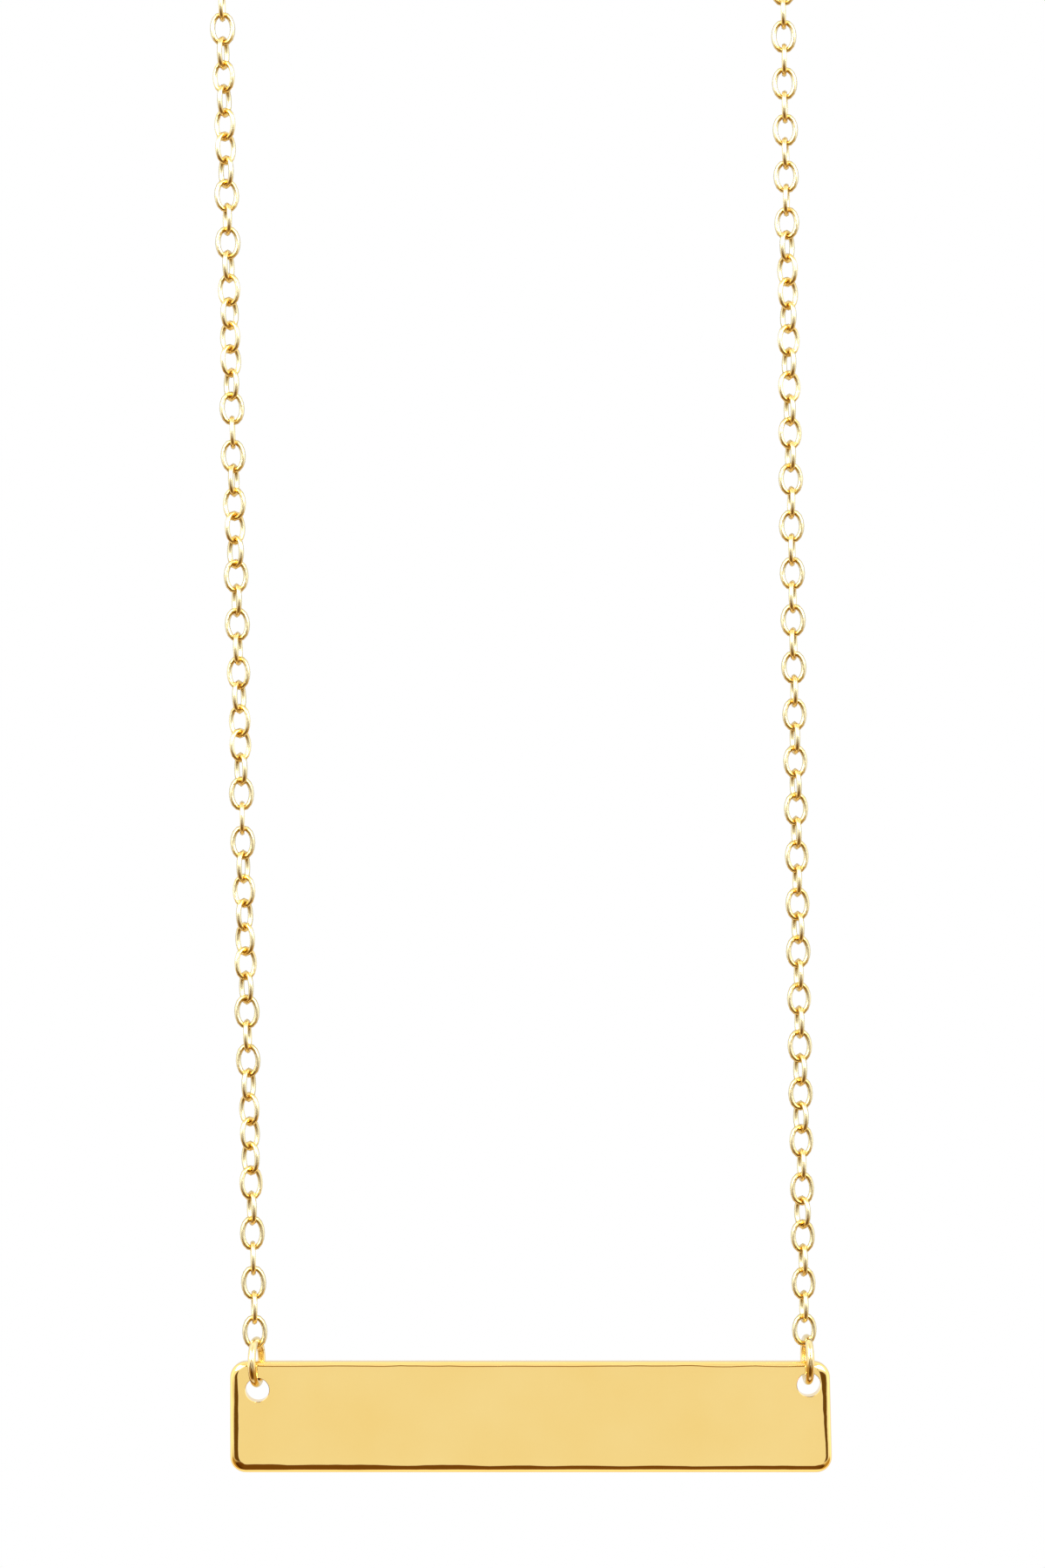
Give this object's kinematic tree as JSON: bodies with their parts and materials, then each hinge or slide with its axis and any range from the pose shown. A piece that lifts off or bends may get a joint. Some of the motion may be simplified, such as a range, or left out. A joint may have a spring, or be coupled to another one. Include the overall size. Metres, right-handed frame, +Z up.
{
  "type": "bar pendant necklace",
  "caption": "Slim polished bar pendant hung flat from two jump rings on a fine oval cable chain closed by a round clasp.",
  "frame": {"origin": "the hanging point: under the clasp, at the middle of the loop's top", "axes": "+Z up along the hanging strands, +X to the viewer's right along the bar, -Y out of the bar's polished front"},
  "size_m": [0.0412, 0.005, 0.1815],
  "materials": {
    "bar_gold": "polished gold plate",
    "ring_gold": "polished gold plate",
    "chain_gold": "polished gold plate",
    "clasp_gold": "polished gold plate"
  },
  "bodies": {
    "strands": {"chain_left": "chain_gold", "chain_right": "chain_gold", "ring_left": "ring_gold", "ring_right": "ring_gold", "clasp": "clasp_gold"},
    "bar": {"bar": "bar_gold"}
  },
  "joints": [
    {"name": "bar_swing", "type": "hinge", "parent": "strands", "child": "bar", "pos_m": [0.00334, 0, -0.17343], "axis": [0.9999, 0, 0.0102], "range_deg": [-75, 75]}
  ]
}
